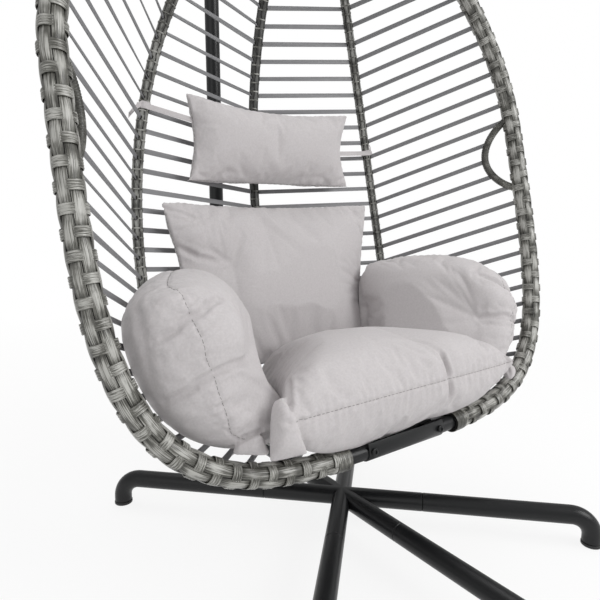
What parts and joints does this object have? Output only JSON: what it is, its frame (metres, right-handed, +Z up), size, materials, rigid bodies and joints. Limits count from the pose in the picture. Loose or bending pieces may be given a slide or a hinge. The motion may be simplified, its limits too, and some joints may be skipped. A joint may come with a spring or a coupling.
{
  "type": "hanging egg chair with stand",
  "caption": "Egg-shaped basket chair of wrapped frame and straps, with loose cushions, hung by a swivel and spring from a curved post on a low crossed base.",
  "frame": {"origin": "on the floor at the middle of the footprint, under the crossing of the base tubes", "axes": "+Z up along the post; -Y is the open front of the basket; +X is the right-hand side in the picture"},
  "size_m": [1.1036, 1.1588, 1.9169],
  "materials": {
    "black_steel": "semi-gloss powder coat",
    "black_plastic": "moulded, matt",
    "rattan": "woven flat strips of grey synthetic rattan, streaked",
    "strap": "flat extruded strip, slight sheen",
    "cushion_fabric": "light grey woven polyester, matt",
    "zinc": "zinc plated"
  },
  "bodies": {
    "stand": {"base_arm_front_right": "black_steel", "base_arm_rear_right": "black_steel", "base_arm_rear_left": "black_steel", "base_arm_front_left": "black_steel", "base_arm_front": "black_steel", "foot_cap_front_right": "black_plastic", "foot_cap_rear_right": "black_plastic", "foot_cap_rear_left": "black_plastic", "foot_cap_front_left": "black_plastic", "foot_cap_front": "black_plastic", "base_hub": "black_steel", "lower_post": "black_steel", "upper_post": "black_steel", "post_end_cap": "black_plastic"},
    "upper_link": {"upper_hook": "zinc"},
    "swivel_top": {"swivel_barrel": "zinc"},
    "swivel_bottom": {"swivel_pin": "zinc", "hanging_spring": "zinc"},
    "basket": {"lower_hook": "zinc", "bottom_bracket": "black_steel", "top_bracket": "black_steel", "rim_bolt_lower_left": "black_steel", "rim_nut_lower_left": "zinc", "rim_bolt_lower_right": "black_steel", "rim_nut_lower_right": "zinc", "rim_bolt_upper_left": "black_steel", "rim_nut_upper_left": "zinc", "rim_bolt_upper_right": "black_steel", "rim_nut_upper_right": "zinc", "rib_bolt_lower_left": "black_steel", "rib_bolt_lower_back": "black_steel", "rib_bolt_lower_right": "black_steel", "rib_bolt_upper_left": "black_steel", "rib_bolt_upper_back": "black_steel", "rib_bolt_upper_right": "black_steel", "rim_tube_left": "black_steel", "rim_tube_right": "black_steel", "rim_wrap_left": "rattan", "rim_wrap_right": "rattan", "rib_left": "rattan", "rib_back": "rattan", "rib_right": "rattan", "hand_grip_left": "rattan", "hand_grip_right": "rattan", "straps_left_front": "strap", "straps_left_rear": "strap", "straps_right_rear": "strap", "straps_right_front": "strap", "seat_cushion": "cushion_fabric", "arm_cushion_left": "cushion_fabric", "arm_cushion_right": "cushion_fabric", "back_cushion": "cushion_fabric", "head_pillow": "cushion_fabric"}
  },
  "joints": [
    {"name": "swing_fore_aft", "type": "hinge", "parent": "stand", "child": "upper_link", "pos_m": [0, 0.0727, 1.8552], "axis": [1, 0, 0], "range_deg": [-14, 6]},
    {"name": "swing_sideways", "type": "hinge", "parent": "upper_link", "child": "swivel_top", "pos_m": [0, 0.0727, 1.8015], "axis": [0, 1, 0], "range_deg": [-6, 6]},
    {"name": "turn", "type": "hinge", "parent": "swivel_top", "child": "swivel_bottom", "pos_m": [0, 0.0727, 1.7575], "axis": [0, 0, 1], "range_deg": [-30, 30]},
    {"name": "bounce", "type": "slide", "parent": "swivel_bottom", "child": "basket", "axis": [0, 0, 1], "range_m": [-0.05, 0.006], "stiffness_N_per_m": 25000, "springref_m": 0.0104, "deforming": ["hanging_spring"]}
  ]
}
